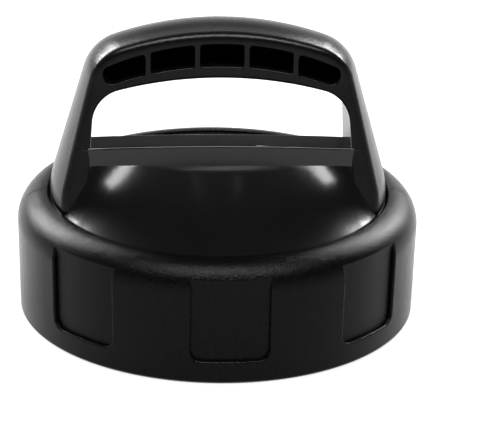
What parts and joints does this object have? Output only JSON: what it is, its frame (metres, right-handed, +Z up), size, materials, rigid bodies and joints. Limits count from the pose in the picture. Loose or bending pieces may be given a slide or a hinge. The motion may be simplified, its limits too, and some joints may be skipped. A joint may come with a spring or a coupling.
{
  "type": "screw lid",
  "caption": "Wide-mouth barrel screw lid: a free-turning threaded collar round a lid with an arched carrying handle.",
  "frame": {"origin": "on the collar's axis, at the level of its open lower edge", "axes": "+Z up out of the handle, X along the handle's arch, -Y the side the hand-hold pockets open to"},
  "size_m": [0.1524, 0.151, 0.1143],
  "materials": {
    "threaded_collar": "satin black with fine moulded grain",
    "lid_crown": "polished black",
    "carry_handle": "satin black",
    "retaining_ring": "plain natural plastic",
    "neck_gasket": "matt black rubber",
    "spigot_o_ring": "matt black rubber"
  },
  "bodies": {
    "collar": {"threaded_collar": "threaded_collar", "retaining_ring": "retaining_ring"},
    "lid": {"lid_crown": "lid_crown", "carry_handle": "carry_handle", "neck_gasket": "neck_gasket", "spigot_o_ring": "spigot_o_ring"}
  },
  "joints": [
    {"name": "lid_spin", "type": "hinge", "parent": "collar", "child": "lid", "pos_m": [0, 0, 0], "axis": [0, 0, 1], "continuous": true}
  ]
}
